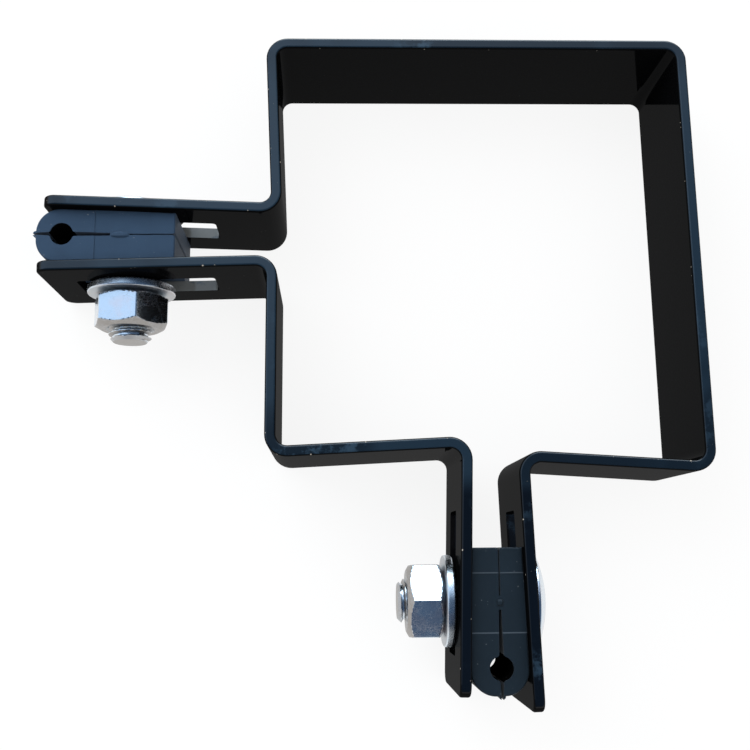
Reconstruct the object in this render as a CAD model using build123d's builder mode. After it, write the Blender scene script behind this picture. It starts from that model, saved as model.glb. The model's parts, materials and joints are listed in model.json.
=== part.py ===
"""Corner post clamp for a square post, with two wire clamps.

Two folded steel straps close round the post.  Their free ends stand out as two pairs of
flanges, and each pair is drawn together on a slotted rubber grip by a cup square bolt,
a washer and a hexagon nut.

Millimetres.  The origin is on the post's axis, in the plane of the straps' lower edges.
+Z runs along the post, the left pair of flanges points to -X, the lower pair to -Y.
"""

from build123d import *
from math import cos, radians, sin, tan
import os

# --- Straps: flat bar, folded on a press brake --------------------------------------
strap_width = 30.0            # width of the bar, along the post
strap_thickness = 2.5
bend_radius = 2.5             # inside radius of every fold
edge_rounding = 0.55          # rolled edges of the bar, softened again by the paint
flange_corner_radius = 3.0    # corners of each flange's free end

post_opening = 95.0           # between the inner faces, across the post
side_leg_extra = 3.4          # how much further than square the right leg reaches down
short_leg_drop = 1.15         # how much short of square the lower left corner stays

upper_left_lean = 1.8         # degrees each sprung leg leans in towards its flange
lower_left_lean = 0.6
lower_leg_lean = 2.3
lower_right_lean = 4.05

# --- Flanges ------------------------------------------------------------------------
left_flange_length = 51.7     # from the fold to the flange's end
lower_flange_length = 53.2
clamp_tilt = 0.5              # degrees each clamp turns away from square
flange_splay = 1.7            # degrees each flange stands off the clamp's middle plane

slot_length = 32.0
slot_width = 11.0
slot_corner_radius = 1.0
slot_offset = -4.2            # slot's middle from the bolt, negative towards the post

# --- Bolts, washers and nuts, size M10 ----------------------------------------------
bolt_diameter = 10.0
bolt_length = 30.0            # under the head
head_diameter = 24.0
head_height = 4.8
head_rim = 0.9                # upright rim below the dome
neck_side = 9.8               # square neck, held by the slot's sides
neck_length = 2.3
neck_corner_radius = 1.2
bolt_end_chamfer = 1.1
thread_clearance = 0.06       # radial, between the bolt's crests and the nut's bore

washer_diameter = 20.5
washer_bore = 10.9
washer_thickness = 2.0
washer_edge_rounding = 0.45

nut_across_flats = 16.0
nut_height = 8.2
nut_chamfer_height = 1.35     # how far the corner chamfer comes down each corner
nut_bore_chamfer = 0.7
left_nut_turn = -18.0         # degrees from a corner that points along the post, where
lower_nut_turn = 2.0          # each nut came to rest when it was tightened

# --- Grips: moulded rubber jaws, slit from the nose to the inner end ------------------
grip_width = 25.0             # along the post, set back from both edges of the straps
grip_thickness = 11.9         # across, at the bolt
grip_nose_reach = 20.3        # bolt to the tip of the nose
grip_tail_reach = 11.8        # bolt to the inner end
grip_edge_rounding = 0.4
nose_radius = 5.6             # rounding from each side into the nose
nose_lip_half = 0.75          # small lip at the tip
nose_lip_reach = 0.75
split_offset = 0.4            # the split lies this much nearer to the bolt's head
bolt_hole_diameter = 10.6
web_half_length = 1.5         # webs beside the bolt that keep the two jaws together
panel_half_length = 6.35      # shallow panel round the bolt, on both broad faces
panel_depth = 0.15

wire_hole_radius = 2.6
wire_to_tip = 6.5             # wire's axis to the tip of the nose
slit_at_hole = 1.15           # width of the slit where it leaves the wire hole
slit_lip_radius = 0.6         # rounding of the lips between the hole and the slit
slit_at_web = 0.55
slit_at_tip = 0.3
hairline = 0.3                # the slit behind the bolt
hairline_mouth = 0.9          # it opens to this at the inner end
hairline_mouth_depth = 0.5

# --- Places ---------------------------------------------------------------------------
left_bolt_distance = 82.5     # from the post's axis to the left bolt's axis, along X
left_clamp_offset = 2.35      # left clamp's middle plane above the post's axis
lower_bolt_distance = 80.7    # from the post's axis to the lower bolt's axis, along Y
lower_clamp_offset = 0.3      # lower clamp's middle plane right of the post's axis

# Derived sizes
outer_radius = bend_radius + strap_thickness
half_frame = post_opening / 2 + strap_thickness
mid_height = strap_width / 2
grip_half = grip_thickness / 2
flange_face = grip_half + strap_thickness / cos(radians(flange_splay))
head_seat = flange_face + head_diameter / 2 * tan(radians(flange_splay))
washer_seat = flange_face + washer_diameter / 2 * tan(radians(flange_splay))
nut_seat = washer_seat + washer_thickness
through = 4 * flange_face     # longer than anything the cuts below pass through


left_clamp = Plane(
    origin=(-left_bolt_distance, left_clamp_offset, mid_height),
    x_dir=(-cos(radians(clamp_tilt)), sin(radians(clamp_tilt)), 0),
    z_dir=(-sin(radians(clamp_tilt)), -cos(radians(clamp_tilt)), 0),
)
lower_clamp = Plane(
    origin=(lower_clamp_offset, -lower_bolt_distance, mid_height),
    x_dir=(-sin(radians(clamp_tilt)), -cos(radians(clamp_tilt)), 0),
    z_dir=(-cos(radians(clamp_tilt)), sin(radians(clamp_tilt)), 0),
)
HEAD_SIDE, NUT_SIDE = -1, 1


def flange_plane(clamp, side):
    """Outer face of a flange: x along the flange to its free end, z away from the grip."""
    slope = radians(flange_splay)
    along = clamp.from_local_coords(Vector(cos(slope), 0, side * sin(slope))) - clamp.origin
    away = clamp.from_local_coords(Vector(-sin(slope), 0, side * cos(slope))) - clamp.origin
    face_origin = clamp.from_local_coords(Vector(0, 0, side * flange_face))
    return Plane(origin=face_origin, x_dir=along, z_dir=away)


def in_plan(vector):
    """The same vector or point, in the XY plane."""
    return Vector(vector.X, vector.Y)


def fold_between(corner, degrees, flange):
    """In plan, where the leg that leaves a corner meets a flange's outer face.

    The leg's heading is counted anticlockwise from +X.
    """
    leg = Vector(cos(radians(degrees)), sin(radians(degrees)))
    along = in_plan(flange.x_dir)
    gap = in_plan(flange.origin) - corner
    step = (gap.X * along.Y - gap.Y * along.X) / (leg.X * along.Y - leg.Y * along.X)
    return corner + leg * step


# Corners of the straps, all on the outer faces of the post clamp
upper_flange = flange_plane(left_clamp, HEAD_SIDE)
right_flange = flange_plane(lower_clamp, HEAD_SIDE)
middle_flange = flange_plane(left_clamp, NUT_SIDE)
inner_lower_flange = flange_plane(lower_clamp, NUT_SIDE)

top_left = Vector(-half_frame, half_frame)
top_right = Vector(half_frame, half_frame)
bottom_right = Vector(half_frame, -half_frame - side_leg_extra)
bottom_left = Vector(-half_frame - 0.25, -half_frame + short_leg_drop)

upper_fold = fold_between(top_left, -90 + upper_left_lean, upper_flange)
right_fold = fold_between(bottom_right, 180 - lower_right_lean, right_flange)
middle_fold = fold_between(bottom_left, 90 - lower_left_lean, middle_flange)
lower_fold = fold_between(bottom_left, lower_leg_lean, inner_lower_flange)

upper_end = upper_fold + in_plan(upper_flange.x_dir) * left_flange_length
middle_end = middle_fold + in_plan(middle_flange.x_dir) * left_flange_length
right_end = right_fold + in_plan(right_flange.x_dir) * lower_flange_length
lower_end = lower_fold + in_plan(inner_lower_flange.x_dir) * lower_flange_length


# --- Outer strap: left flange, round three sides of the post, lower flange ---------------
with BuildPart() as outer_strap:
    with BuildSketch():
        with BuildLine():
            FilletPolyline(
                upper_end, upper_fold, top_left, top_right, bottom_right, right_fold, right_end,
                radius=[bend_radius, outer_radius, outer_radius, outer_radius, bend_radius],
            )
            offset(amount=strap_thickness, side=Side.RIGHT)
        make_face()
    extrude(amount=strap_width)
    end_corners = outer_strap.edges().filter_by(lambda edge: abs(edge.length - strap_thickness) < 0.01)
    fillet(end_corners, radius=flange_corner_radius)
    rims = outer_strap.faces().filter_by(Axis.Z).edges()
    fillet(rims, radius=edge_rounding)
    with BuildSketch(upper_flange, right_flange):
        with Locations((slot_offset, 0)):
            RectangleRounded(slot_length, slot_width, slot_corner_radius)
    extrude(amount=2 * strap_thickness, both=True, mode=Mode.SUBTRACT)

# --- Inner strap: left flange, the lower left corner, lower flange -----------------------
with BuildPart() as inner_strap:
    with BuildSketch():
        with BuildLine():
            FilletPolyline(
                middle_end, middle_fold, bottom_left, lower_fold, lower_end,
                radius=[bend_radius, outer_radius, bend_radius],
            )
            offset(amount=strap_thickness, side=Side.LEFT)
        make_face()
    extrude(amount=strap_width)
    end_corners = inner_strap.edges().filter_by(lambda edge: abs(edge.length - strap_thickness) < 0.01)
    fillet(end_corners, radius=flange_corner_radius)
    rims = inner_strap.faces().filter_by(Axis.Z).edges()
    fillet(rims, radius=edge_rounding)
    with BuildSketch(middle_flange, inner_lower_flange):
        with Locations((slot_offset, 0)):
            RectangleRounded(slot_length, slot_width, slot_corner_radius)
    extrude(amount=2 * strap_thickness, both=True, mode=Mode.SUBTRACT)

# --- Grip, in its clamp's own frame: x outward, y along the post, z towards the nut --------
slope = tan(radians(flange_splay))
split_z = -split_offset


def jaw_side(x, side):
    """A point on the grip's side face at x, which lies flat on the flange there."""
    return (x, side * (grip_half + x * slope))


nose_x = grip_nose_reach - nose_lip_reach
hole_x = grip_nose_reach - wire_to_tip
slit_end_x = web_half_length

with BuildPart() as grip:
    with BuildSketch(Plane.XZ):
        with BuildLine():
            tip_top = (nose_x, split_z + nose_lip_half)
            tip_bottom = (nose_x, split_z - nose_lip_half)
            shoulder_top = jaw_side(nose_x - nose_radius, 1)
            shoulder_bottom = jaw_side(nose_x - nose_radius, -1)
            tail_top = jaw_side(-grip_tail_reach, 1)
            tail_bottom = jaw_side(-grip_tail_reach, -1)
            Polyline(shoulder_top, tail_top, tail_bottom, shoulder_bottom)
            TangentArc(shoulder_top, tip_top, tangent=(1, slope))
            TangentArc(shoulder_bottom, tip_bottom, tangent=(1, -slope))
            Line(tip_top, tip_bottom)
        make_face()
    extrude(amount=grip_width / 2, both=True)
    edges_by_side = grip.edges().group_by(Axis.Y)
    fillet(edges_by_side[0] + edges_by_side[-1], radius=grip_edge_rounding)
    # Small lip at the tip of the nose
    with BuildSketch(Plane.XZ):
        with BuildLine():
            lip_root = nose_x - nose_lip_half
            root_top = (lip_root, split_z + nose_lip_half)
            root_bottom = (lip_root, split_z - nose_lip_half)
            Polyline(tip_top, root_top, root_bottom, tip_bottom)
            ThreePointArc(tip_top, (grip_nose_reach, split_z), tip_bottom)
        make_face()
    extrude(amount=grip_width / 2 - grip_edge_rounding, both=True)
    # Shallow panels on the two broad faces
    with BuildSketch(Plane.XZ.offset(grip_width / 2), Plane.XZ.offset(-grip_width / 2)):
        Rectangle(2 * panel_half_length, 2 * grip_thickness)
    extrude(amount=panel_depth, both=True, mode=Mode.SUBTRACT)
    # Wire hole, and the slit that runs through it from the nose to the webs
    with BuildSketch(Plane.XZ) as wire_slit:
        with BuildLine():
            Polyline(
                (grip_nose_reach + 1, split_z + slit_at_tip / 2),
                (hole_x, split_z + slit_at_hole / 2),
                (slit_end_x, split_z + slit_at_web / 2),
                (slit_end_x, split_z - slit_at_web / 2),
                (hole_x, split_z - slit_at_hole / 2),
                (grip_nose_reach + 1, split_z - slit_at_tip / 2),
                close=True,
            )
        make_face()
        with Locations((hole_x, split_z)):
            Circle(wire_hole_radius)
        hole_middle = Vector(hole_x, split_z)
        lips = wire_slit.vertices().filter_by(
            lambda corner: abs((in_plan(corner.center()) - hole_middle).length - wire_hole_radius) < 0.01
            and abs(corner.Y - split_z) > 0.01
        )
        fillet(lips, radius=slit_lip_radius)
    extrude(amount=grip_width, both=True, mode=Mode.SUBTRACT)
    # Slit behind the webs, closed to a hairline
    with BuildSketch(Plane.XZ):
        with BuildLine():
            mouth_x = hairline_mouth_depth - grip_tail_reach
            Polyline(
                (-slit_end_x, split_z + hairline / 2),
                (mouth_x, split_z + hairline / 2),
                (-grip_tail_reach, split_z + hairline_mouth / 2),
                (-grip_tail_reach, split_z - hairline_mouth / 2),
                (mouth_x, split_z - hairline / 2),
                (-slit_end_x, split_z - hairline / 2),
                close=True,
            )
        make_face()
    extrude(amount=grip_width, both=True, mode=Mode.SUBTRACT)
    # Bolt hole, across both jaws
    with BuildSketch():
        Circle(bolt_hole_diameter / 2)
    extrude(amount=through, both=True, mode=Mode.SUBTRACT)

# --- Cup square bolt, in its clamp's own frame ---------------------------------------------
with BuildPart() as bolt:
    with BuildSketch(Plane.XZ):
        with BuildLine():
            rim_point = (head_diameter / 2, -head_seat - head_rim)
            crown = (0, -head_seat - head_height)
            Polyline((0, -head_seat), (head_diameter / 2, -head_seat), rim_point)
            dome_rise = head_height - head_rim
            dome_radius = ((head_diameter / 2) ** 2 + dome_rise**2) / (2 * dome_rise)
            RadiusArc(rim_point, crown, dome_radius)
            Line(crown, (0, -head_seat))
        make_face()
    revolve(axis=Axis.Z)
    with BuildSketch(Plane.XY.offset(-head_seat)):
        RectangleRounded(neck_side, neck_side, neck_corner_radius)
    extrude(amount=neck_length)
    with BuildSketch(Plane.XY.offset(-head_seat)):
        Circle(bolt_diameter / 2)
    extrude(amount=bolt_length)
    chamfer(bolt.faces().sort_by(Axis.Z)[-1].edges(), length=bolt_end_chamfer)

# --- Washer, in its clamp's own frame --------------------------------------------------------
with BuildPart() as washer:
    with BuildSketch(Plane.XY.offset(washer_seat)):
        Circle(washer_diameter / 2)
        Circle(washer_bore / 2, mode=Mode.SUBTRACT)
    extrude(amount=washer_thickness)
    outer_edges = washer.edges().filter_by(GeomType.CIRCLE).sort_by(SortBy.RADIUS)[-2:]
    fillet(outer_edges, radius=washer_edge_rounding)

# --- Nut, in its clamp's own frame: a hexagon turned down to cones at both ends --------------
nut_corner = nut_across_flats / 2 / cos(radians(30))
with BuildPart() as nut:
    with BuildSketch(Plane.XY.offset(nut_seat)):
        RegularPolygon(nut_across_flats / 2, side_count=6, major_radius=False, rotation=30)
        Circle(bolt_diameter / 2 + thread_clearance, mode=Mode.SUBTRACT)
    extrude(amount=nut_height)
    nut_faces = nut.faces().filter_by(Axis.Z)
    bore_edges = nut_faces.edges().filter_by(GeomType.CIRCLE)
    chamfer(bore_edges, length=nut_bore_chamfer)
    with BuildSketch(Plane.XZ):
        with BuildLine():
            cone_reach = nut_chamfer_height * tan(radians(60))
            Polyline(
                (0, nut_seat), (nut_corner - cone_reach, nut_seat),
                (nut_corner, nut_seat + nut_chamfer_height),
                (nut_corner, nut_seat + nut_height - nut_chamfer_height),
                (nut_corner - cone_reach, nut_seat + nut_height), (0, nut_seat + nut_height), close=True,
            )
        make_face()
    revolve(axis=Axis.Z, mode=Mode.INTERSECT)

# --- Write every piece -------------------------------------------------------------------------
pieces = {"outer_strap": outer_strap.part, "inner_strap": inner_strap.part}
for clamp_name, clamp, nut_turn in (
    ("left", left_clamp, left_nut_turn),
    ("lower", lower_clamp, lower_nut_turn),
):
    clamp_pieces = {
        "grip": grip.part,
        "bolt": bolt.part,
        "washer": washer.part,
        "nut": nut.part.rotate(Axis.Z, nut_turn),
    }
    for piece_name, shape in clamp_pieces.items():
        pieces[f"{clamp_name}_{piece_name}"] = shape.moved(clamp.location)

os.makedirs("parts", exist_ok=True)
for name, piece in pieces.items():
    piece.label = name
    export_step(piece, f"parts/{name}.step")
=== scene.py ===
"""Dressed model of a corner post clamp.

Two folded straps in gloss black paint close round a square post.  Two rubber grips sit
between their flanges, each drawn up by a zinc plated cup square bolt, washer and nut.

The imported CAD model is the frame.  Its straps, grips and washers stay and get their
finishes here.  The bolts and nuts are replaced by meshes with real threads, crowned heads
and turned chamfers, and the grips get the small marks that their mould leaves.
"""

from __future__ import annotations

import json
import logging
import math
from dataclasses import dataclass, field
from enum import Enum

import bmesh
import bpy
import numpy as np
from mathutils import Matrix, Vector

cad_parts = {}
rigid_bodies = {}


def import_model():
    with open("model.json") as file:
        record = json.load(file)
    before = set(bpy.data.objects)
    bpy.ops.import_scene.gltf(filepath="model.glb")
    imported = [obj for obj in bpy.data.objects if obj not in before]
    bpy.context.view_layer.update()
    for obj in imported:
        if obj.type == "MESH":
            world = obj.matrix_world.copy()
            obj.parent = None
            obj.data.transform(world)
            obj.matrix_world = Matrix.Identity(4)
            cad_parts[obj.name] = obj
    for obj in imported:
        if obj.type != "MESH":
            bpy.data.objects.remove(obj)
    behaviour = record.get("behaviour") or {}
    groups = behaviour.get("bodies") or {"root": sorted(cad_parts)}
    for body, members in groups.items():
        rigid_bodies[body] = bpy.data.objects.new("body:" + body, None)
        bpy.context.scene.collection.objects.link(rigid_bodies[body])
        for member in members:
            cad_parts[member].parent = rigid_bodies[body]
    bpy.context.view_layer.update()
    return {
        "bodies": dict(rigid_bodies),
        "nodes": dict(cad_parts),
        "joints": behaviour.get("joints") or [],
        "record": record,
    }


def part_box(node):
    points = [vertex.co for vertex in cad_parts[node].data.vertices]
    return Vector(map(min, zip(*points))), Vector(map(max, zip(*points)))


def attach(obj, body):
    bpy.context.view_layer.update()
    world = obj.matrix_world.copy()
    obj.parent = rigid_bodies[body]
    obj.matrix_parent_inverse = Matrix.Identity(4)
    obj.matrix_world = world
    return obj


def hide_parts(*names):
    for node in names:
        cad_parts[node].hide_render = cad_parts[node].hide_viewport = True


LOG = logging.getLogger("post_clamp")
MM = 0.001
TURN = 2.0 * math.pi

Colour = tuple[float, float, float]
Point = tuple[float, float, float]


class Slot(Enum):
    """The record's material slots."""

    PAINT = "black_paint"
    RUBBER = "grip_rubber"
    ZINC = "zinc"


class Closing(Enum):
    """How a grid of points is closed into a surface."""

    RING = "both directions run round"
    CAPPED = "columns run round, both end rows are poles"


# --------------------------------------------------------------------------------------
# Shader graphs
# --------------------------------------------------------------------------------------


class Graph:
    """A shader node tree that is built up by calls, one node each."""

    def __init__(self, tree: bpy.types.NodeTree) -> None:
        """Starts on an existing tree.

        Args:
            tree: The node tree to add to.
        """
        self.tree = tree

    def node(self, kind: str, inputs: dict | None = None, **settings: object) -> bpy.types.Node:
        """Adds a node.

        Args:
            kind: The node's type name without its "ShaderNode" start.
            inputs: Input name or index to a constant, or to a socket to be linked.
            settings: Attributes of the node itself.

        Returns:
            The new node.
        """
        made = self.tree.nodes.new("ShaderNode" + kind)
        for name, value in settings.items():
            setattr(made, name, value)
        for name, value in (inputs or {}).items():
            if isinstance(value, bpy.types.NodeSocket):
                self.tree.links.new(value, made.inputs[name])
            else:
                made.inputs[name].default_value = value
        return made

    def math(self, operation: str, *values: object, clamp: bool = False) -> bpy.types.NodeSocket:
        """Adds a Math node on one to three numbers or sockets and returns its output."""
        inputs = dict(enumerate(values))
        return self.node("Math", inputs, operation=operation, use_clamp=clamp).outputs[0]

    def vector(self, operation: str, *values: object) -> bpy.types.NodeSocket:
        """Adds a Vector Math node and returns its vector, or its value for a dot product."""
        made = self.node("VectorMath", dict(enumerate(values)), operation=operation)
        return made.outputs["Value" if operation in ("DOT_PRODUCT", "LENGTH") else "Vector"]

    def step(self, value: object, low: object, high: object) -> bpy.types.NodeSocket:
        """Smooth step of a value: 0 at low, 1 at high, and the reverse where low is greater."""
        inputs = {"Value": value, "From Min": low, "From Max": high}
        return self.node("MapRange", inputs, interpolation_type="SMOOTHSTEP").outputs["Result"]

    def span(self, value: object, low: float, high: float) -> bpy.types.NodeSocket:
        """Takes a value from 0..1 to low..high in a straight line, held within that span."""
        return self.node("MapRange", {"Value": value, "To Min": low, "To Max": high}).outputs["Result"]

    def blend(self, factor: object, first: object, second: object) -> bpy.types.NodeSocket:
        """Mixes two colours by a factor and returns the colour."""
        made = self.node("Mix", data_type="RGBA", clamp_factor=True)
        for socket, value in ((made.inputs[0], factor), (made.inputs[6], first), (made.inputs[7], second)):
            if isinstance(value, bpy.types.NodeSocket):
                self.tree.links.new(value, socket)
            elif socket.type == "RGBA":
                socket.default_value = (*value, 1.0)
            else:
                socket.default_value = value
        return made.outputs[2]

    def place(self) -> bpy.types.NodeSocket:
        """The point on the piece, in metres in the clamp's frame."""
        return self.node("TexCoord").outputs["Object"]

    def parts_of(self, vector: bpy.types.NodeSocket) -> tuple[bpy.types.NodeSocket, ...]:
        """The three components of a vector."""
        return tuple(self.node("SeparateXYZ", {0: vector}).outputs)


class Effect:
    """A shader node group that several finishes share.

    A group is made once, on first use, and gives only masks, values and heights.
    """

    name: str = ""
    inputs: dict[str, str] = {}
    outputs: tuple[str, ...] = ()

    def wire(self, graph: Graph, given: dict, result: bpy.types.Node) -> None:
        """Builds the inside of the group.

        Args:
            graph: The group's own graph.
            given: Input name to the socket that brings it in.
            result: The group's output node.
        """
        raise NotImplementedError

    def group(self) -> bpy.types.NodeTree:
        """The group's tree, which is made if it isn't there yet.

        Returns:
            The shared node tree.
        """
        if self.name in bpy.data.node_groups:
            return bpy.data.node_groups[self.name]
        tree = bpy.data.node_groups.new(self.name, "ShaderNodeTree")
        for name, kind in self.inputs.items():
            tree.interface.new_socket(name=name, in_out="INPUT", socket_type="NodeSocket" + kind)
        for name in self.outputs:
            tree.interface.new_socket(name=name, in_out="OUTPUT", socket_type="NodeSocketFloat")
        entry = tree.nodes.new("NodeGroupInput")
        result = tree.nodes.new("NodeGroupOutput")
        self.wire(Graph(tree), {name: entry.outputs[name] for name in self.inputs}, result)
        return tree

    def use(self, graph: Graph, **values: object) -> bpy.types.Node:
        """Places the group in a material.

        Args:
            graph: The material's graph.
            values: Input name, with underscores for spaces, to a number or a socket.

        Returns:
            The group node.
        """
        inputs = {name.replace("_", " "): value for name, value in values.items()}
        made = graph.tree.nodes.new("ShaderNodeGroup")
        made.node_tree = self.group()
        for name, value in inputs.items():
            if isinstance(value, bpy.types.NodeSocket):
                graph.tree.links.new(value, made.inputs[name])
            else:
                made.inputs[name].default_value = value
        return made


class DustSpecks(Effect):
    """Round specks, scattered over a share of small cells."""

    name = "DustSpecks"
    inputs = {"Place": "Vector", "Cells": "Float", "Share": "Float", "Size": "Float"}
    outputs = ("Mask",)
    smallest = 0.4
    soft_edge = 0.5

    def wire(self, graph: Graph, given: dict, result: bpy.types.Node) -> None:
        """A speck is where the distance to a cell's point is under Size, in the chosen cells."""
        cells = graph.node("TexVoronoi", {"Vector": given["Place"], "Scale": given["Cells"]})
        chance = graph.node("SeparateColor", {0: cells.outputs["Color"]})
        chosen = graph.math("LESS_THAN", chance.outputs[0], given["Share"])
        size = graph.math("MULTIPLY", given["Size"], graph.span(chance.outputs[1], self.smallest, 1.0))
        spot = graph.math("SUBTRACT", 1.0, graph.math("DIVIDE", cells.outputs["Distance"], size), clamp=True)
        spot = graph.math("MULTIPLY", graph.step(spot, 0.0, self.soft_edge), chosen)
        graph.tree.links.new(spot, result.inputs["Mask"])


class FineGrain(Effect):
    """Even grain in two sizes, as paint or moulded rubber has it."""

    name = "FineGrain"
    inputs = {"Place": "Vector", "Cells": "Float", "Mix": "Float"}
    outputs = ("Value",)
    finer_by = 6.0

    def wire(self, graph: Graph, given: dict, result: bpy.types.Node) -> None:
        """The grain is coarse noise, with finer noise mixed in."""
        coarse = graph.node("TexNoise", {"Vector": given["Place"], "Scale": given["Cells"], "Detail": 2.0})
        finer = graph.math("MULTIPLY", given["Cells"], self.finer_by)
        fine = graph.node("TexNoise", {"Vector": given["Place"], "Scale": finer, "Detail": 3.0})
        mixed = graph.node("Mix", {0: given["Mix"], 2: coarse.outputs["Fac"], 3: fine.outputs["Fac"]})
        graph.tree.links.new(mixed.outputs[0], result.inputs["Value"])


class Scratches(Effect):
    """Fine straight scratches along one direction, in patches."""

    name = "Scratches"
    inputs = {"Place": "Vector", "Axis": "Vector", "Angle": "Float", "Along": "Float",
              "Across": "Float", "Width": "Float"}
    outputs = ("Mask",)
    patch_scale = 0.12
    patch_from = 0.45
    patch_full = 0.62

    def wire(self, graph: Graph, given: dict, result: bpy.types.Node) -> None:
        """A scratch is where stretched noise passes its middle, kept where slow noise is high."""
        turned = graph.node("VectorRotate", {"Vector": given["Place"], "Axis": given["Axis"],
                                             "Angle": given["Angle"]}).outputs[0]
        scale = graph.node("CombineXYZ", {0: given["Along"], 1: given["Across"], 2: given["Across"]})
        stretched = graph.vector("MULTIPLY", turned, scale.outputs[0])
        lines = graph.node("TexNoise", {"Vector": stretched, "Scale": 1.0, "Detail": 4.0, "Roughness": 0.7})
        off_middle = graph.math("ABSOLUTE", graph.math("SUBTRACT", lines.outputs["Fac"], 0.5))
        thin = graph.step(off_middle, given["Width"], 0.0)
        patch_cells = graph.math("MULTIPLY", given["Across"], self.patch_scale)
        patches = graph.node("TexNoise", {"Vector": turned, "Scale": patch_cells})
        kept = graph.step(patches.outputs["Fac"], self.patch_from, self.patch_full)
        graph.tree.links.new(graph.math("MULTIPLY", thin, kept), result.inputs["Mask"])


class EdgeWearAndHighlights(Effect):
    """The two long rims of a bar that stands on edge, and the pale specks along them, partly chips and
    partly painted highlights.
    """

    name = "EdgeWearAndHighlights"
    inputs = {"Place": "Vector", "Facing": "Vector", "Low": "Float", "High": "Float", "Band": "Float",
              "Chip Cells": "Float", "Chip Share": "Float"}
    outputs = ("Rim", "ChipsAndHighlights")
    rim_from = 0.74
    rim_full = 0.95
    chip_highlight_size = 0.42
    chip_highlights_end = 1.4
    chip_highlights_full = 0.9
    flat_end = 0.99
    flat_full = 0.90

    def wire(self, graph: Graph, given: dict, result: bpy.types.Node) -> None:
        """Rim is 1 where a face looks up or down; a chip, partly chipped paint and partly painted highlight,
        is a speck on the rounding beside it.
        """
        height = graph.parts_of(given["Place"])[2]
        upright = graph.math("ABSOLUTE", graph.parts_of(given["Facing"])[2])
        from_low = graph.math("SUBTRACT", height, given["Low"])
        from_high = graph.math("SUBTRACT", given["High"], height)
        nearest = graph.math("MINIMUM", from_low, from_high)
        share = graph.math("DIVIDE", nearest, given["Band"])
        graph.tree.links.new(graph.step(upright, self.rim_from, self.rim_full), result.inputs["Rim"])
        specks = DustSpecks().use(graph, Place=given["Place"], Cells=given["Chip Cells"],
                                  Share=given["Chip Share"], Size=self.chip_highlight_size)
        near_rim = graph.step(share, self.chip_highlights_end, self.chip_highlights_full)
        rounding = graph.math("MULTIPLY", near_rim, graph.step(upright, self.flat_end, self.flat_full))
        chips_and_highlights = graph.math("MULTIPLY", specks.outputs["Mask"], rounding)
        graph.tree.links.new(chips_and_highlights, result.inputs["ChipsAndHighlights"])


# --------------------------------------------------------------------------------------
# Finishes
# --------------------------------------------------------------------------------------


def new_material(name: str) -> tuple[bpy.types.Material, Graph, bpy.types.Node]:
    """Makes a material with an empty Principled shader.

    Args:
        name: The material's name.

    Returns:
        The material, its graph and its Principled shader node.
    """
    material = bpy.data.materials.new(name)
    material.use_nodes = True
    graph = Graph(material.node_tree)
    return material, graph, material.node_tree.nodes["Principled BSDF"]


def wire_shader(graph: Graph, shader: bpy.types.Node, links: dict, constants: dict) -> None:
    """Links what varies over the surface and sets what is the same all over it.

    Args:
        graph: The material's graph.
        shader: Its Principled shader.
        links: Input name to socket.
        constants: Input name to number or colour.
    """
    for name, socket in links.items():
        graph.tree.links.new(socket, shader.inputs[name])
    for name, value in constants.items():
        shader.inputs[name].default_value = value


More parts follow.
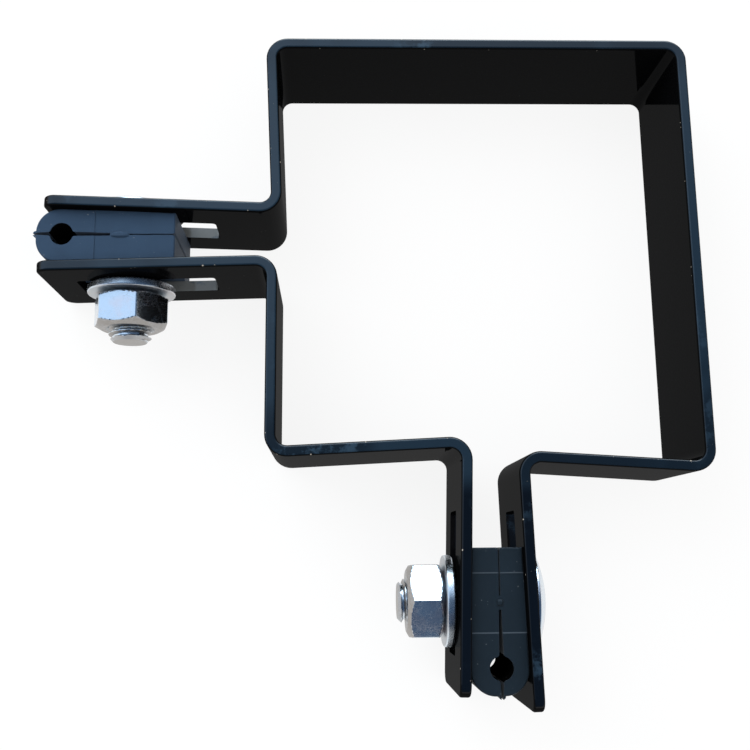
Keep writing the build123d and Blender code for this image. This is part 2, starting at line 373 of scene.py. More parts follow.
@dataclass(frozen=True)
class GlossPaint:
    """Gloss black paint on flat bar, with slate rims, dust, scuffs and small chips.

    The slate of the rims is a painted reflection, darker in random patches, and the slots'
    walls have a pale painted reflection.  The rims and the slots' walls are darker, as painted
    shade, on the lower flanges, from shaded_below down.  The pale-blue scuffs are partly rubbed
    paint and partly painted highlight, and the pale chips partly chipped paint and partly
    painted highlight.
    """

    name: str
    wall: Colour = (0.0022, 0.0023, 0.0026)
    # Rim colours: a slate-blue painted reflection, and the painted shade that takes its place on the lower
    # flanges.
    rim: Colour = (0.011, 0.023, 0.038)
    rim_painted_shade: Colour = (0.0016, 0.0032, 0.0062)
    # Slot wall colours: a pale painted reflection, and the painted shade that takes its place on the lower
    # flanges.
    slot: Colour = (0.17, 0.18, 0.18)
    slot_painted_shade: Colour = (0.004, 0.004, 0.005)
    # Pale blue of the scuffs: partly rubbed paint, partly painted highlight.
    scuff_and_highlight: Colour = (0.030, 0.060, 0.095)
    # Pale chip colour: partly chipped paint, partly painted highlight on the rounded edges.
    chip_and_highlight: Colour = (0.55, 0.50, 0.43)
    dust: Colour = (0.20, 0.20, 0.19)
    bar_height: float = 30.0 * MM
    rounding: float = 0.55 * MM
    # Painted shade on the rims and slot walls of the lower flanges, from this depth down.
    shaded_below: float = -52.0 * MM
    shade_fade: float = 6.0 * MM
    slot_start: float = 2.0 * MM
    slot_full: float = 4.0 * MM
    chip_highlight_cells: float = 1500.0
    chip_highlight_share: float = 0.05
    dust_cells: float = 1100.0
    dust_share: float = 0.035
    dust_size: float = 0.20
    peel_cells: float = 420.0
    haze_cells: float = 38.0
    cloud_cells: float = 150.0
    patch_cells: float = 24.0
    patch_strength: float = 0.65
    scuff_and_highlight_strength: float = 0.7
    dust_strength: float = 0.28
    chip_and_highlight_strength: float = 0.85
    gloss: float = 0.10
    wall_coat: float = 0.06
    rim_coat: float = 0.90

    def material(self) -> bpy.types.Material:
        """Builds the paint.

        Returns:
            The material, which reads Object coordinates in the clamp's frame.
        """
        material, graph, shader = new_material(self.name)
        place = graph.place()
        facing = graph.node("NewGeometry").outputs["Normal"]
        wear = EdgeWearAndHighlights().use(graph, Place=place, Facing=facing, Low=0.0, High=self.bar_height,
                              Band=self.rounding, Chip_Cells=self.chip_highlight_cells, Chip_Share=self.chip_highlight_share)
        rim = wear.outputs["Rim"]
        dust = DustSpecks().use(graph, Place=place, Cells=self.dust_cells, Share=self.dust_share,
                                Size=self.dust_size).outputs["Mask"]
        peel = FineGrain().use(graph, Place=place, Cells=self.peel_cells, Mix=0.25).outputs["Value"]
        haze = graph.node("TexNoise", {"Vector": place, "Scale": self.haze_cells,
                                       "Detail": 3.0}).outputs["Fac"]
        cloud = graph.node("TexNoise", {"Vector": place, "Scale": self.cloud_cells, "Detail": 5.0,
                                        "Roughness": 0.7}).outputs["Fac"]
        # Scuffs on the rims: partly rubbed paint, partly painted highlight; they also roughen the paint.
        rubbed_and_highlight = graph.math("MULTIPLY", graph.step(haze, 0.55, 0.72), graph.step(cloud, 0.52, 0.62))
        rubbed_and_highlight = graph.math("MULTIPLY", rubbed_and_highlight, rim)
        # Slot walls: faces that look up or down away from the rims, given a painted reflection.
        _, depth, height = graph.parts_of(place)
        under_top = graph.step(height, self.bar_height - self.slot_start, self.bar_height - self.slot_full)
        over_foot = graph.step(height, self.slot_start, self.slot_full)
        slot_wall = graph.math("MULTIPLY", graph.math("MULTIPLY", rim, under_top), over_foot)
        # Painted shade: rims and slot walls turn dark on the lower flanges.
        shaded = graph.step(depth, self.shaded_below, self.shaded_below - self.shade_fade)
        # Random patches where the rims' painted reflection gives way to painted shade.
        patch = graph.node("TexNoise", {"Vector": place, "Scale": self.patch_cells,
                                        "Detail": 3.0}).outputs["Fac"]
        patch = graph.math("MULTIPLY", graph.step(patch, 0.48, 0.60), self.patch_strength)
        # Rims: slate-blue painted reflection, with painted shade in patches and on the lower flanges.
        rim_painted_light_and_shade = graph.blend(graph.math("MAXIMUM", shaded, patch), self.rim, self.rim_painted_shade)
        # Slot walls: pale painted reflection, turning to painted shade on the lower flanges.
        slot_painted_light_and_shade = graph.blend(shaded, self.slot, self.slot_painted_shade)
        colour = graph.blend(rim, self.wall, rim_painted_light_and_shade)
        colour = graph.blend(slot_wall, colour, slot_painted_light_and_shade)
        colour = graph.blend(graph.math("MULTIPLY", rubbed_and_highlight, self.scuff_and_highlight_strength), colour, self.scuff_and_highlight)
        colour = graph.blend(graph.math("MULTIPLY", dust, self.dust_strength), colour, self.dust)
        # Chips: partly chipped paint, partly painted highlight.
        chips_and_highlights = graph.math("MULTIPLY", wear.outputs["ChipsAndHighlights"], self.chip_and_highlight_strength)
        colour = graph.blend(chips_and_highlights, colour, self.chip_and_highlight)
        rough = graph.math("ADD", self.gloss, graph.math("MULTIPLY", haze, 0.08))
        rough = graph.math("ADD", rough, graph.math("MULTIPLY", dust, 0.35))
        rough = graph.math("ADD", rough, graph.math("MULTIPLY", rubbed_and_highlight, 0.25))
        bump = graph.node("Bump", {"Strength": 0.10, "Distance": 0.02 * MM, "Height": peel})
        links = {
            "Base Color": colour, "Roughness": rough, "Normal": bump.outputs[0],
            "Coat Weight": graph.span(rim, self.wall_coat, self.rim_coat),
        }
        constants = {"Specular IOR Level": 0.0, "Coat Roughness": 0.06, "Coat IOR": 1.5}
        wire_shader(graph, shader, links, constants)
        return material


@dataclass(frozen=True)
class MouldedRubber:
    """Matte blue-grey rubber with mould grain, dust, and pale lines beside the bolt that are painted
    highlights on the panel edges.

    The wall of the wire hole is painted near black, as painted shade, and gives no light back.
    """

    name: str
    colour: Colour
    origin: Point
    outward: Point
    dusty: float = 0.5
    crease_highlight_share: float = 0.3
    crease: float = 6.35 * MM
    front: float = 27.5 * MM
    roughness: float = 0.62
    hole_reach: float = 13.8 * MM
    hole_radius: float = 3.1 * MM
    hole_depth: float = 0.5 * MM
    # Near black of the painted shade on the wire hole's wall.
    hole_painted_shade: Colour = (0.002, 0.002, 0.002)
    # Pale tone of the painted highlight on the panel edges.
    crease_highlight_tone: Colour = (0.22, 0.27, 0.33)
    crease_width: float = 0.22 * MM
    crease_depth: float = 1.0 * MM
    dust_tone: Colour = (0.34, 0.36, 0.38)
    darkest: float = 0.82
    lightest: float = 1.22
    specular: float = 0.30
    sheen: float = 0.06

    def material(self) -> bpy.types.Material:
        """Builds the rubber.

        Returns:
            The material, which reads Object coordinates in the clamp's frame.
        """
        material, graph, shader = new_material(self.name)
        place = graph.place()
        from_bolt = graph.vector("SUBTRACT", place, self.origin)
        reach = graph.math("ABSOLUTE", graph.vector("DOT_PRODUCT", from_bolt, self.outward))
        # Painted highlight: a pale line along each panel edge beside the bolt, near the front face.
        off_crease = graph.math("ABSOLUTE", graph.math("SUBTRACT", reach, self.crease))
        crease = graph.step(off_crease, self.crease_width, 0.0)
        height = graph.parts_of(place)[2]
        at_front = graph.step(height, self.front - self.crease_depth, self.front)
        crease = graph.math("MULTIPLY", crease, at_front)
        grain = FineGrain().use(graph, Place=place, Cells=700.0, Mix=0.5).outputs["Value"]
        cloud = graph.node("TexNoise", {"Vector": place, "Scale": 160.0, "Detail": 4.0}).outputs["Fac"]
        fine_dust = DustSpecks().use(graph, Place=place, Cells=1500.0, Share=0.09,
                                     Size=0.24).outputs["Mask"]
        specks = DustSpecks().use(graph, Place=place, Cells=420.0, Share=0.05, Size=0.16).outputs["Mask"]
        dust = graph.math("MAXIMUM", fine_dust, specks)
        tone = graph.blend(graph.span(cloud, 0.0, 1.0), tuple(self.darkest * c for c in self.colour),
                           tuple(self.lightest * c for c in self.colour))
        tone = graph.blend(graph.math("MULTIPLY", crease, self.crease_highlight_share), tone, self.crease_highlight_tone)
        # Painted shade: the wire hole's wall near the front is near black, with no specular or sheen.
        from_hole = graph.vector("SUBTRACT", from_bolt, tuple(self.hole_reach * v for v in self.outward))
        across = graph.node("CombineXYZ", dict(zip((0, 1), graph.parts_of(from_hole)[:2]))).outputs[0]
        from_middle = graph.vector("LENGTH", across)
        in_hole = graph.step(from_middle, self.hole_radius, 0.97 * self.hole_radius)
        hole_shade_mask = graph.math("MULTIPLY", in_hole, graph.step(height, self.front, self.front - self.hole_depth))
        tone = graph.blend(hole_shade_mask, tone, self.hole_painted_shade)
        tone = graph.blend(graph.math("MULTIPLY", dust, self.dusty), tone, self.dust_tone)
        rough = graph.math("ADD", self.roughness - 0.06, graph.math("MULTIPLY", grain, 0.14))
        bump = graph.node("Bump", {"Strength": 0.35, "Distance": 0.05 * MM, "Height": grain})
        links = {
            "Base Color": tone, "Roughness": rough, "Normal": bump.outputs[0],
            "Specular IOR Level": graph.span(hole_shade_mask, self.specular, 0.0),
            "Sheen Weight": graph.span(hole_shade_mask, self.sheen, 0.0),
        }
        wire_shader(graph, shader, links, {"Sheen Roughness": 0.5})
        return material


@dataclass(frozen=True)
class ZincPlate:
    """Bright bluish zinc plate, scratched, with duller ends where it faces along its axis."""

    name: str
    axis: Point
    bright: Colour = (0.66, 0.735, 0.80)
    flushed: Colour = (0.72, 0.70, 0.73)
    dull: Colour = (0.33, 0.31, 0.29)
    scratch: Colour = (0.82, 0.86, 0.90)
    roughness: float = 0.15
    end_share: float = 1.0
    flush_cells: float = 210.0
    grain_cells: float = 900.0
    scratch_strength: float = 0.4
    grain_rough: float = 0.10
    scratch_rough: float = 0.20
    end_rough: float = 0.18

    def material(self) -> bpy.types.Material:
        """Builds the plating.

        Returns:
            The material, which reads Object coordinates in the clamp's frame.
        """
        material, graph, shader = new_material(self.name)
        place = graph.place()
        fine = Scratches().use(graph, Place=place, Axis=(0.3, 0.5, 0.8), Angle=0.7, Along=120.0,
                               Across=1900.0, Width=0.035).outputs["Mask"]
        crossed = Scratches().use(graph, Place=place, Axis=(0.7, -0.4, 0.5), Angle=-1.1, Along=150.0,
                                  Across=1500.0, Width=0.03).outputs["Mask"]
        scratched = graph.math("MAXIMUM", fine, crossed)
        flush = graph.node("TexNoise", {"Vector": place, "Scale": self.flush_cells,
                                        "Detail": 3.0}).outputs["Fac"]
        grain = FineGrain().use(graph, Place=place, Cells=self.grain_cells, Mix=0.5).outputs["Value"]
        normal = graph.node("NewGeometry").outputs["Normal"]
        facing = graph.vector("DOT_PRODUCT", normal, self.axis)
        ends = graph.math("MULTIPLY", graph.step(facing, 0.35, 0.9), self.end_share)
        colour = graph.blend(graph.step(flush, 0.46, 0.66), self.bright, self.flushed)
        colour = graph.blend(ends, colour, self.dull)
        colour = graph.blend(graph.math("MULTIPLY", scratched, self.scratch_strength), colour, self.scratch)
        rough = graph.math("ADD", self.roughness, graph.math("MULTIPLY", grain, self.grain_rough))
        rough = graph.math("ADD", rough, graph.math("MULTIPLY", scratched, self.scratch_rough))
        rough = graph.math("ADD", rough, graph.math("MULTIPLY", ends, self.end_rough))
        relief = graph.math("SUBTRACT", graph.math("MULTIPLY", grain, 0.4), scratched)
        bump = graph.node("Bump", {"Strength": 0.10, "Distance": 0.01 * MM, "Height": relief})
        wire_shader(graph, shader, {"Base Color": colour, "Roughness": rough, "Normal": bump.outputs[0]},
                    {"Metallic": 1.0})
        return material


@dataclass(frozen=True)
class PaleFloor:
    """A white table top that keeps the clamp's shadow."""

    name: str = "pale_floor"
    colour: Colour = (0.93, 0.93, 0.93)
    plain_share: float = 0.88

    def material(self) -> bpy.types.Material:
        """Builds the floor.

        Seen by the camera, in reflections or through glass, most of it is plain white, and the
        rest is lit, so that a shadow stays.

        Returns:
            The material.
        """
        material, graph, shader = new_material(self.name)
        shader.inputs["Base Color"].default_value = (*self.colour, 1.0)
        shader.inputs["Roughness"].default_value = 0.9
        shader.inputs["Specular IOR Level"].default_value = 0.0
        path = graph.node("LightPath").outputs
        seen = graph.math("MAXIMUM", path["Is Camera Ray"], path["Is Glossy Ray"])
        seen = graph.math("MAXIMUM", seen, path["Is Transmission Ray"])
        share = graph.math("MULTIPLY", seen, self.plain_share)
        plain = graph.node("Emission", {"Color": (1.0, 1.0, 1.0, 1.0), "Strength": 1.0})
        mixed = graph.node("MixShader", {0: share, 1: shader.outputs[0], 2: plain.outputs[0]})
        output = material.node_tree.nodes["Material Output"]
        graph.tree.links.new(mixed.outputs[0], output.inputs["Surface"])
        return material


# --------------------------------------------------------------------------------------
# Surfaces
# --------------------------------------------------------------------------------------


def grid_mesh(name: str, points: np.ndarray, closing: Closing) -> bpy.types.Object:
    """Makes a closed surface from a grid of points.

    Rows are joined to the next row and columns to the next column, which gives one quad for
    each cell.  With CAPPED, the first and the last row are single points, and triangles fan
    out from them.

    Args:
        name: The piece's name.
        points: Array of rows x columns x 3, in metres in the clamp's frame.
        closing: How the grid closes.

    Returns:
        The object, at the origin, with its place in its mesh.
    """
    rows, columns = points.shape[:2]
    row, column = np.meshgrid(np.arange(rows), np.arange(columns), indexing="ij")
    after = (column + 1) % columns
    if closing is Closing.RING:
        below = (row + 1) % rows
        quads = np.stack((row * columns + column, row * columns + after, below * columns + after,
                          below * columns + column), -1).reshape(-1, 4)
        vertices, triangles = points.reshape(-1, 3), np.empty((0, 3), int)
    else:
        inner = points[1:-1]
        vertices = np.concatenate((points[0, :1], inner.reshape(-1, 3), points[-1, :1]))
        row, column, after = (a[: rows - 3] for a in (row, column, after))
        start = 1 + row * columns
        quads = np.stack((start + column, start + after, start + columns + after,
                          start + columns + column), -1).reshape(-1, 4)
        ring, following = np.arange(columns), (np.arange(columns) + 1) % columns
        last = 1 + (rows - 3) * columns
        first_fan = np.stack((np.zeros_like(ring), 1 + following, 1 + ring), -1)
        last_fan = np.stack((np.full_like(ring, len(vertices) - 1), last + ring, last + following), -1)
        triangles = np.concatenate((first_fan, last_fan))
    faces = quads.tolist() + triangles.tolist()
    mesh = bpy.data.meshes.new(name)
    mesh.from_pydata(vertices.tolist(), [], faces)
    turn_outwards(mesh)
    piece = bpy.data.objects.new(name, mesh)
    bpy.context.scene.collection.objects.link(piece)
    return piece


def shade(piece: bpy.types.Object, crease_degrees: float) -> None:
    """Shades a piece smooth, with sharp edges where its faces meet at more than an angle."""
    mesh = piece.data
    mesh.polygons.foreach_set("use_smooth", np.ones(len(mesh.polygons), bool))
    mesh.set_sharp_from_angle(angle=math.radians(crease_degrees))


@dataclass(frozen=True)
class ClampFrame:
    """A clamp's own frame, with its origin on the bolt's axis, midway between the flanges.

    Points are given by reach along the flanges, side, and height along the bolt to the nut.
    """

    origin: np.ndarray
    outward: np.ndarray
    bolt: np.ndarray

    def points(self, radius: np.ndarray, angle: np.ndarray, height: np.ndarray) -> np.ndarray:
        """Places points given round the bolt's axis.

        The point is the origin, plus height along the bolt, plus radius times the cosine of
        the angle outward and the sine sideways.

        Args:
            radius: Distance from the axis, in millimetres.
            angle: Angle round the axis, counted from outward, in radians.
            height: Height along the axis towards the nut, in millimetres.

        Returns:
            The points in metres, with one more axis than the arrays given.
        """
        side = np.cross(self.bolt, self.outward)
        radius, angle, height = np.broadcast_arrays(radius, angle, height)
        flat = (radius * np.cos(angle))[..., None] * self.outward
        flat = flat + (radius * np.sin(angle))[..., None] * side
        return self.origin + MM * (flat + height[..., None] * self.bolt)


@dataclass(frozen=True)
class Thread:
    """Coarse metric thread."""

    major: float = 10.0
    pitch: float = 1.5
    depth_share: float = 0.6134
    crest_share: float = 0.125
    root_share: float = 0.25

    def radius(self, angle: np.ndarray, height: np.ndarray) -> np.ndarray:
        """The thread's surface, as a radius.

        Along the axis the depth is a wave of straight flanks, flat at crest and root, that
        moves on by one pitch in each turn.

        Args:
            angle: Angle round the axis, in radians.
            height: Height along the axis, in millimetres.

        Returns:
            The radius, in millimetres.
        """
        depth = self.depth_share * self.pitch
        phase = np.mod(height / self.pitch - angle / TURN, 1.0)
        from_crest = np.abs(phase - 0.5) * 2.0
        flank = 1.0 - self.crest_share - self.root_share
        wave = np.clip((from_crest - self.crest_share) / flank, 0.0, 1.0)
        return self.major / 2.0 - depth * wave


@dataclass
class Bolt:
    """Cup square bolt: a crowned head, a square neck and a threaded shank."""

    name: str
    replaced: str
    frame: ClampFrame
    seat: float
    thread: Thread = Thread()
    length: float = 30.0
    head_diameter: float = 24.0
    head_height: float = 3.6
    head_rim: float = 0.75
    rim_rounding: float = 0.35
    seat_rounding: float = 0.25
    neck_side: float = 9.8
    neck_length: float = 2.3
    neck_power: float = 14.0
    neck_slope: float = 0.25
    turn_rows: int = 14
    plain_length: float = 11.0
    end_chamfer: float = 1.1
    columns: int = 128
    piece: bpy.types.Object | None = field(default=None, init=False)

    def head_rows(self) -> np.ndarray:
        """Profile of the head, as rows of radius and height.

        The crown is an arc through its top and its rim, then comes a small round, the upright
        rim, and the flat seat in to the neck.

        Returns:
            Rows of (radius, height) in millimetres, from the crown's pole to the neck.
        """
        half = self.head_diameter / 2.0
        rise = self.head_height - self.head_rim
        ball = (half**2 + rise**2) / (2.0 * rise)
        widest = math.asin(half / ball)
        tilt = np.linspace(0.0, widest - self.rim_rounding / ball, 30)
        arc = np.stack((ball * np.sin(tilt), -self.head_height + ball * (1.0 - np.cos(tilt))), -1)
        corner = np.array((half, -self.head_rim))
        share = np.linspace(0.0, 1.0, 7)[1:, None]
        below = corner + (0.0, self.rim_rounding)
        rounded = (1 - share) ** 2 * arc[-1] + 2 * share * (1 - share) * corner + share**2 * below
        soft = self.seat_rounding
        rim = np.array(((half, -soft), (half - 0.32 * soft, -0.32 * soft), (half - soft, 0.0)))
        seat = np.stack((np.linspace(half - 1.5, self.neck_side / 2.0 + 1.4, 4), np.zeros(4)), -1)
        return np.concatenate((arc, rounded, rim, seat))

    def neck_radius(self, angle: np.ndarray) -> np.ndarray:
        """Radius of a square with rounded corners.

        It is half the side over the high-power mean of cosine and sine, which cuts the
        corners off softly.

        Args:
            angle: Angle round the axis, in radians.

        Returns:
            The radius, in millimetres.
        """
        cosine, sine = np.abs(np.cos(angle)), np.abs(np.sin(angle))
        mean = (cosine**self.neck_power + sine**self.neck_power) ** (1.0 / self.neck_power)
        return self.neck_side / 2.0 / mean

    def build(self) -> None:
        """Builds the bolt as one grid round its axis, with a pole at each end."""
        angle = np.linspace(0.0, TURN, self.columns, endpoint=False)
        head = self.head_rows()
        head_radius = np.repeat(head[:, :1], self.columns, 1)
        head_height = np.repeat(head[:, 1:], self.columns, 1)
        neck_height = np.array((0.0, 0.3, self.neck_length - 0.3, self.neck_length))[:, None]
        flare = self.neck_slope * np.array((1.0, 0.0, 0.0, -1.0))[:, None]
        neck_radius = self.neck_radius(angle)[None, :] + flare
        neck_height = np.repeat(neck_height, self.columns, 1)
        steps = round((self.length - self.neck_length - 0.2) / self.thread.pitch * self.turn_rows)
        shank_height = np.linspace(self.neck_length + 0.2, self.length, steps)[:, None]
        shank_height = np.repeat(shank_height, self.columns, 1)
        cut = np.clip((shank_height - self.plain_length) / self.thread.pitch, 0.0, 1.0)
        major = self.thread.major / 2.0
        shank = major - cut * (major - self.thread.radius(angle[None, :], shank_height))
        cone = major - self.end_chamfer + (self.length - shank_height)
        shank = np.minimum(shank, cone)
        end = np.linspace(1.0, 0.0, 5)[1:, None]
        end_radius = end * shank[-1][None, :]
        end_height = np.full_like(end_radius, self.length)
        radius = np.concatenate((head_radius, neck_radius, shank, end_radius))
        height = self.seat + np.concatenate((head_height, neck_height, shank_height, end_height))
        points = self.frame.points(radius, angle[None, :], height)
        self.piece = grid_mesh(self.name, points, Closing.CAPPED)
        shade(self.piece, 32.0)

    def dress(self, material: bpy.types.Material) -> None:
        """Gives the bolt its plating and its place on the clamp.

        Args:
            material: The zinc plate.
        """
        finish_piece(self.piece, material, Slot.ZINC, self.replaced)


@dataclass
class Nut:
    """Hexagon nut, turned to a cone at both ends, with a threaded bore."""

    name: str
    replaced: str
    frame: ClampFrame
    seat: float
    bolt_seat: float
    turn_degrees: float
    thread: Thread = Thread()
    across_flats: float = 16.0
    height: float = 8.4
    chamfer_height: float = 1.35
    bore_chamfer: float = 0.7
    clearance: float = 0.05
    side_columns: int = 32
    turn_rows: int = 14
    corner_power: float = 90.0
    cone_power: float = 140.0
    cone_degrees: float = 30.0
    piece: bpy.types.Object | None = field(default=None, init=False)

    def outline(self, angle: np.ndarray, level: np.ndarray) -> np.ndarray:
        """Outer radius of the nut.

        The hexagon is half its width over the high-power sum of the cosines to its six flats,
        which rounds its corners a little.  The end cones rise at 30 degrees from the corners'
        radius, and the surface is the soft minimum of the hexagon and both cones.

        Args:
            angle: Angle round the axis, in radians.
            level: Height above the nut's seat, in millimetres.

        Returns:
            The radius, in millimetres.
        """
        flats = math.radians(self.turn_degrees) + np.arange(6) * TURN / 6.0
        near = np.clip(np.cos(angle[..., None] - flats), 0.0, None)
        hexagon = self.across_flats / 2.0 / np.sum(near**self.corner_power, -1) ** (1.0 / self.corner_power)
        corner = self.across_flats / 2.0 / math.cos(math.radians(30.0))
        slope = 1.0 / math.tan(math.radians(self.cone_degrees))
        reach = corner - self.chamfer_height * slope
        from_end = np.minimum(level, self.height - level)
        cone = reach + from_end * slope
        return (hexagon**-self.cone_power + cone**-self.cone_power) ** (-1.0 / self.cone_power)

    def build(self) -> None:
        """Builds the nut as one grid that runs round its axis and round its wall."""
        columns = 6 * self.side_columns
        angle = (math.radians(self.turn_degrees) + (np.arange(columns) + 0.5) * TURN / columns)[None, :]
        side_level = self.height * (0.5 - 0.5 * np.cos(np.linspace(0.0, math.pi, 44)))[:, None]
        side = self.outline(angle, side_level)
        side_level = np.repeat(side_level, columns, 1)
        steps = round(self.height / self.thread.pitch * self.turn_rows)
        bore_level = np.repeat(np.linspace(self.height, 0.0, steps)[:, None], columns, 1)
        bolt_level = bore_level + self.seat - self.bolt_seat
        bore = self.thread.radius(angle, bolt_level) + self.clearance
        widened = self.thread.major / 2.0 + self.bore_chamfer
        bore = np.maximum(bore, widened - np.minimum(bore_level, self.height - bore_level))
        share = np.linspace(0.0, 1.0, 8)[1:-1, None]
        top = side[-1] * (1 - share) + bore[0] * share
        bottom = bore[-1] * (1 - share) + side[0] * share
        radius = np.concatenate((side, top, bore, bottom))
        level = np.concatenate((side_level, np.full_like(top, self.height), bore_level,
                                np.zeros_like(bottom)))
        points = self.frame.points(radius, angle, self.seat + level)
        self.piece = grid_mesh(self.name, points, Closing.RING)
        shade(self.piece, 24.0)

    def dress(self, material: bpy.types.Material) -> None:
        """Gives the nut its plating and its place on the clamp.

        Args:
            material: The zinc plate.
        """
        finish_piece(self.piece, material, Slot.ZINC, self.replaced)


def place_section(frame: ClampFrame, reach: np.ndarray, level: np.ndarray, up: np.ndarray) -> np.ndarray:
    """Places points given by reach outward, level along the bolt and height up the post."""
    flat = reach[..., None] * frame.outward + level[..., None] * frame.bolt
    return frame.origin + MM * (flat + up[..., None] * np.array((0.0, 0.0, 1.0)))


def turn_outwards(mesh: bpy.types.Mesh) -> None:
    """Turns a closed mesh's faces outwards and lets Blender mend its bookkeeping."""
    work = bmesh.new()
    work.from_mesh(mesh)
    bmesh.ops.recalc_face_normals(work, faces=work.faces)
    work.to_mesh(mesh)
    work.free()
    mesh.validate()
    mesh.update()


@dataclass
class GateMark:
    """The raised scar where the rubber entered the mould, on the grip's upper face."""

    name: str
    frame: ClampFrame
    start: float
    end: float
    width: float = 1.5
    rise: float = 0.45
    sunk: float = 0.25
    face: float = 12.35
    offset: float = -0.4
    piece: bpy.types.Object | None = field(default=None, init=False)

    def build(self) -> None:
        """Builds the scar as a flattened pillow.

        The plan is a rounded oblong from a power of 3, and the height falls off with the fourth
        power of the share of the way out.
        """
        turn = np.linspace(0.0, TURN, 48, endpoint=False)[None, :]
        share = np.linspace(0.0, 1.0, 10)[:, None]
        out = (np.abs(np.cos(turn)) ** 3 + np.abs(np.sin(turn)) ** 3) ** (-1.0 / 3.0)
        reach = (self.start + self.end) / 2.0 + (self.end - self.start) / 2.0 * share * out * np.cos(turn)
        level = self.offset + self.width / 2.0 * share * out * np.sin(turn)
        top = self.rise * (1.0 - share**4) * np.ones_like(turn)
        reach = np.concatenate((reach, reach[::-1]))
        level = np.concatenate((level, level[::-1]))
        top = np.concatenate((top, np.full_like(top, -self.sunk)))
        points = place_section(self.frame, reach, level, self.face + top)
        self.piece = grid_mesh(self.name, points, Closing.CAPPED)
        shade(self.piece, 40.0)

    def dress(self, material: bpy.types.Material) -> None:
        """Gives the scar the grip's rubber.

        Args:
            material: The rubber of the grip it stands on.
        """
        finish_piece(self.piece, material, Slot.RUBBER)


def finish_piece(piece: bpy.types.Object, material: bpy.types.Material, slot: Slot, *replaced: str) -> None:
    """Gives a new piece its material and its body, and hides the CAD nodes that it stands for.

    Args:
        piece: The new object.
        material: Its finish.
        slot: The record's slot that the finish belongs to; not used.
        replaced: CAD nodes that it replaces.
    """
    piece.data.materials.clear()
    piece.data.materials.append(material)
    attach(piece, "root")
    if replaced:
        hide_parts(*replaced)
    LOG.info("%s: %d faces, %s", piece.name, len(piece.data.polygons), material.name)


@dataclass
class ClampSet:
    """One grip with its bolt, washer and nut, between a pair of flanges."""

    side: str
    nodes: dict[str, bpy.types.Object]
    outward: Point
    bolt_axis: Point
    nut_turn: float
    # The grip's rubber colour, set lighter or darker as painted light or shade.
    rubber: Colour
    gate: tuple[float, float]
    dusty: float
    crease_highlight_share: float
    bolt_length: float
    cad_nut_height: float = 8.2
    washer_thickness: float = 2.0
    flange_splay: float = 1.7
    grip_half_height: float = 5.95
    strap_thickness: float = 2.5
    head_radius: float = 12.0
    washer_radius: float = 10.25

    def frame(self) -> tuple[ClampFrame, float, float]:
        """Works out the clamp's frame from the CAD nut's box.

        The nut is the same when turned half a turn, so its box's centre is on the bolt's axis.

        Returns:
            The frame, the height of the head's seat and the height of the nut's seat.
        """
        low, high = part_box(f"{self.side}_nut")
        centre = np.array((low + high) / 2.0)
        splay = math.radians(self.flange_splay)
        slope = math.tan(splay)
        flange = self.grip_half_height + self.strap_thickness / math.cos(splay)
        head_seat = -(flange + self.head_radius * slope)
        nut_seat = flange + self.washer_radius * slope + self.washer_thickness
        bolt = np.array(self.bolt_axis)
        origin = centre - MM * (nut_seat + self.cad_nut_height / 2.0) * bolt
        return ClampFrame(origin, np.array(self.outward), bolt), head_seat, nut_seat

    def build(self) -> None:
        """Builds and dresses the set's pieces."""
        frame, head_seat, nut_seat = self.frame()
        zinc = ZincPlate(f"{self.side}_zinc", self.bolt_axis).material()
        washer_zinc = ZincPlate(f"{self.side}_washer_zinc", self.bolt_axis, roughness=0.22,
                                end_share=0.6).material()
        origin = tuple(float(v) for v in frame.origin)
        rubber = MouldedRubber(f"{self.side}_rubber", self.rubber, origin, self.outward, self.dusty,
                               self.crease_highlight_share).material()
        bolt = Bolt(f"{self.side}_bolt_dressed", f"{self.side}_bolt", frame, head_seat,
                    length=self.bolt_length)
        nut = Nut(f"{self.side}_nut_dressed", f"{self.side}_nut", frame, nut_seat, head_seat, self.nut_turn)
        mark = GateMark(f"{self.side}_gate_mark", frame, *self.gate)
        for piece in (bolt, nut, mark):
            piece.build()
        bolt.dress(zinc)
        nut.dress(zinc)
        mark.dress(rubber)
        dress_node(self.nodes[f"{self.side}_washer"], washer_zinc)
        dress_node(self.nodes[f"{self.side}_grip"], rubber)


def dress_node(node: bpy.types.Object, material: bpy.types.Material) -> None:
    """Gives a CAD node a finish, with its shape left as it is.

    Args:
        node: The CAD node's object.
        material: Its new finish.
    """
    node.data.materials.clear()
    node.data.materials.append(material)
    LOG.info("%s: %s", node.name, material.name)


@dataclass
class Straps:
    """The two folded straps."""

    nodes: dict[str, bpy.types.Object]

    def build(self) -> None:
        """Paints both straps."""
        paint = GlossPaint("black_gloss_paint").material()
        for name in ("outer_strap", "inner_strap"):
            dress_node(self.nodes[name], paint)


# --------------------------------------------------------------------------------------
# Studio
# --------------------------------------------------------------------------------------


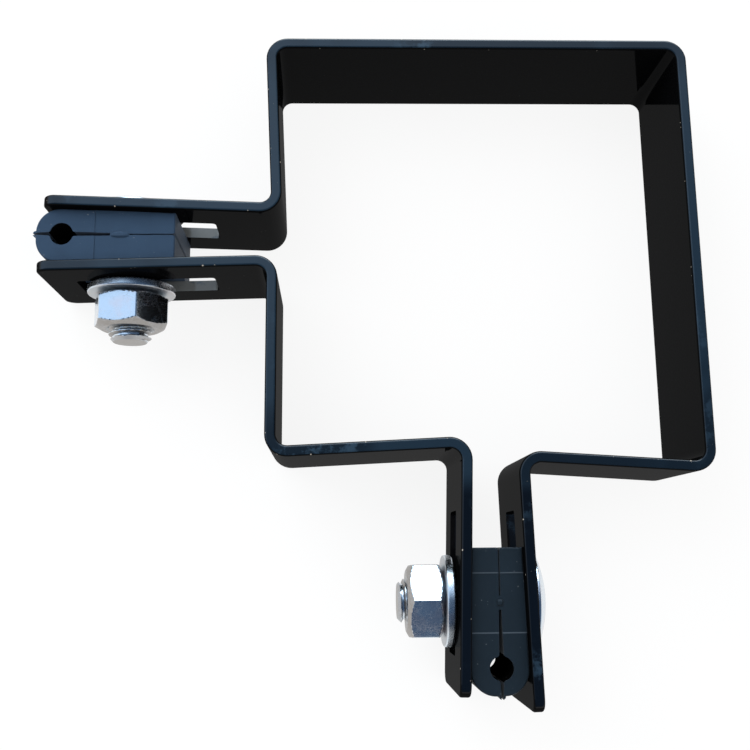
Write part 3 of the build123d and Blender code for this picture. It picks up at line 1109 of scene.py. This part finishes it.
@dataclass
class Studio:
    """Floor, light and camera."""

    camera_place: Point = (-0.03576, -0.07023, 0.2481)
    camera_right: Point = (0.99893, -0.01692, 0.04309)
    camera_up: Point = (0.00898, 0.98395, 0.17822)
    camera_back: Point = (-0.04542, -0.17764, 0.98305)
    lens: float = 48.03
    floor_reach: float = 6.0

    def build(self) -> None:
        """Builds the studio."""
        self.camera()
        self.floor()
        self.world()
        self.lamp("window_light", (-0.55, 0.50, 0.75), size=0.9, power=9.0, colour=(0.90, 0.96, 1.0))
        self.lamp("fill_light", (0.60, -0.45, 0.85), size=1.1, power=4.0, colour=(1.0, 0.97, 0.94))

    def camera(self) -> None:
        """Makes the camera, almost straight above and turned a little towards the flanges."""
        data = bpy.data.cameras.new("camera")
        data.lens = self.lens
        data.sensor_width = 36.0
        data.clip_start, data.clip_end = 0.01, 20.0
        camera = bpy.data.objects.new("camera", data)
        bpy.context.scene.collection.objects.link(camera)
        turned = Matrix((self.camera_right, self.camera_up, self.camera_back)).transposed()
        camera.matrix_world = Matrix.Translation(self.camera_place) @ turned.to_4x4()
        bpy.context.scene.camera = camera

    def floor(self) -> None:
        """Makes the floor, as a square sheet under the straps' lower edges."""
        reach, under = self.floor_reach, -0.02 * MM
        corners = [(x * reach, y * reach, under) for x, y in ((-1, -1), (1, -1), (1, 1), (-1, 1))]
        mesh = bpy.data.meshes.new("floor")
        mesh.from_pydata(corners, [], [(0, 1, 2, 3)])
        floor = bpy.data.objects.new("floor", mesh)
        bpy.context.scene.collection.objects.link(floor)
        mesh.materials.append(PaleFloor().material())

    def world(self) -> None:
        """Makes the room: an even light, seen as pale walls under a blue-grey ceiling.

        Walls are white up to about 12 degrees above the floor.  Above that the room turns to
        a pale blue side at the back and left, and a dark side at the front and right.  A much
        brighter window is at the back, about 20 degrees up.
        """
        world = bpy.data.worlds.new("studio")
        bpy.context.scene.world = world
        world.use_nodes = True
        graph = Graph(world.node_tree)
        world.node_tree.nodes.clear()
        direction = graph.node("TexCoord").outputs["Generated"]
        up = graph.parts_of(direction)[2]
        lit_side = graph.step(graph.vector("DOT_PRODUCT", direction, (-0.45, 0.90, 0.0)), 0.05, 0.42)
        upper = graph.blend(lit_side, (0.062, 0.105, 0.180), (0.78, 1.0, 1.3))
        room = graph.blend(graph.step(up, 0.20, 0.40), (1.0, 1.0, 1.0), upper)
        window = graph.vector("DOT_PRODUCT", direction, (0.14, 0.92, 0.366))
        room = graph.blend(graph.step(window, 0.90, 0.96), room, (5.2, 6.2, 7.0))
        seen = graph.node("Background", {"Color": room, "Strength": 1.0})
        even = graph.node("Background", {"Color": (0.97, 0.985, 1.0, 1.0), "Strength": 0.62})
        path = graph.node("LightPath").outputs
        share = graph.math("MAXIMUM", path["Is Camera Ray"], path["Is Glossy Ray"])
        share = graph.math("MAXIMUM", share, path["Is Transmission Ray"])
        mixed = graph.node("MixShader", {0: share, 1: even.outputs[0], 2: seen.outputs[0]})
        graph.node("OutputWorld", {"Surface": mixed.outputs[0]})

    def lamp(self, name: str, place: Point, size: float, power: float, colour: Colour) -> None:
        """Makes a soft square lamp that faces the clamp.

        Args:
            name: The lamp's name.
            place: Where it hangs, in metres.
            size: Its side, in metres.
            power: Its power, in watts.
            colour: Its colour.
        """
        data = bpy.data.lights.new(name, "AREA")
        data.shape = "SQUARE"
        data.size = size
        data.energy = power
        data.color = colour
        lamp = bpy.data.objects.new(name, data)
        lamp.visible_glossy = False
        bpy.context.scene.collection.objects.link(lamp)
        back = Vector(place)
        lamp.matrix_world = Matrix.Translation(back) @ back.to_track_quat("Z", "Y").to_matrix().to_4x4()


def main() -> None:
    """Loads the frame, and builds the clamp's pieces and the studio."""
    logging.basicConfig(level=logging.INFO, format="%(message)s")
    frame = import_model()
    bpy.context.scene.view_settings.view_transform = "Standard"
    tilt = math.radians(0.5)
    cosine, sine = math.cos(tilt), math.sin(tilt)
    nodes = frame["nodes"]
    Straps(nodes).build()
    left, down = (-cosine, sine, 0.0), (-sine, -cosine, 0.0)
    # The two grips are the same rubber; their colours differ as painted light and shade, lighter on the left
    # grip and darker on the lower one.
    ClampSet("left", nodes, outward=left, bolt_axis=down, nut_turn=-18.0, rubber=(0.020, 0.044, 0.082),
             gate=(-1.5, 2.9), dusty=0.40, crease_highlight_share=0.0, bolt_length=31.0).build()
    ClampSet("lower", nodes, outward=down, bolt_axis=left, nut_turn=2.0, rubber=(0.0045, 0.0110, 0.0175),
             gate=(-0.75, 0.75), dusty=0.25, crease_highlight_share=0.3, bolt_length=30.0).build()
    Studio().build()


if __name__ == "__main__":
    main()
